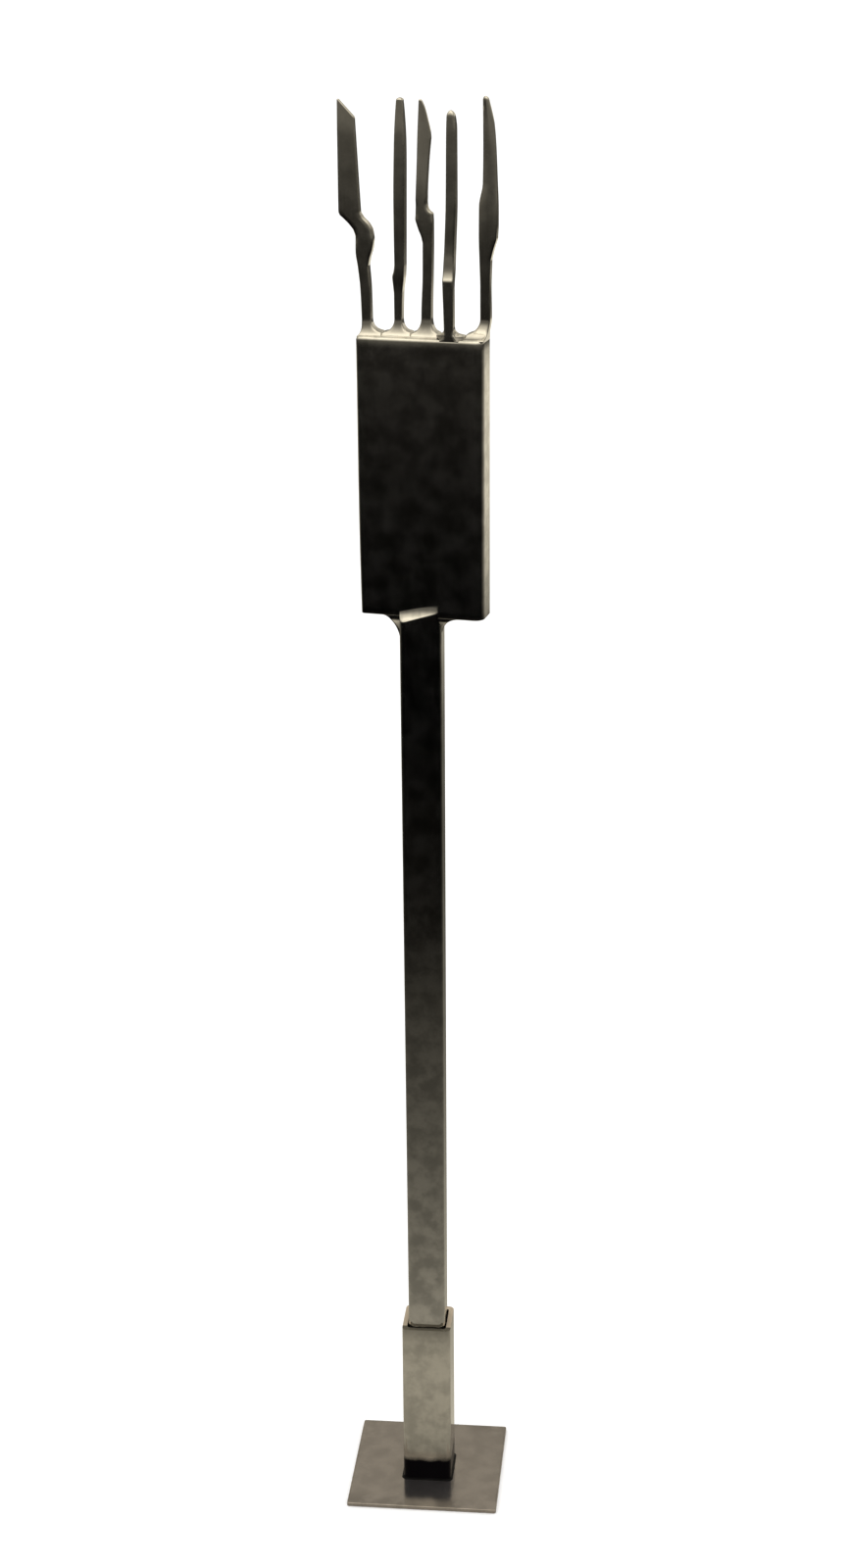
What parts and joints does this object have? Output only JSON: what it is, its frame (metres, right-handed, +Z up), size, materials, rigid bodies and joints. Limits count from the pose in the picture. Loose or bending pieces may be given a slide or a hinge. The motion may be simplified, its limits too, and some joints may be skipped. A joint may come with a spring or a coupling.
{
  "type": "pricking iron",
  "caption": "Steel hand tool with blade-shaped tines on a slab head and square shank, standing in a square socket on a thin base plate.",
  "frame": {"origin": "middle of the underside of the base plate, on the surface that the object stands on", "axes": "+Z up along the shank to the tips of the tines, -Y the front of the plate, +X to the right as seen from the front"},
  "size_m": [0.031, 0.031, 0.2847],
  "materials": {
    "stand_steel": "satin, faintly mottled",
    "tool_steel": "satin polish",
    "tine_steel": "satin polish, finer on the blades",
    "braze": "satin, dressed smooth",
    "solder": "dull satin"
  },
  "bodies": {
    "stand": {"base_plate": "stand_steel", "socket_tube": "stand_steel", "foot_solder_bead": "solder"},
    "tool": {"shank": "tool_steel", "head_block": "tool_steel", "neck_fillet_left": "braze", "neck_fillet_right": "braze", "skew_blade_tine": "tine_steel", "narrow_tine": "tine_steel", "pointed_blade_tine": "tine_steel", "stepped_tine": "tine_steel", "curved_blade_tine": "tine_steel"}
  },
  "joints": [
    {"name": "tool_lift", "type": "slide", "parent": "stand", "child": "tool", "axis": [0, 0, 1], "range_m": [0, 0.037]}
  ]
}
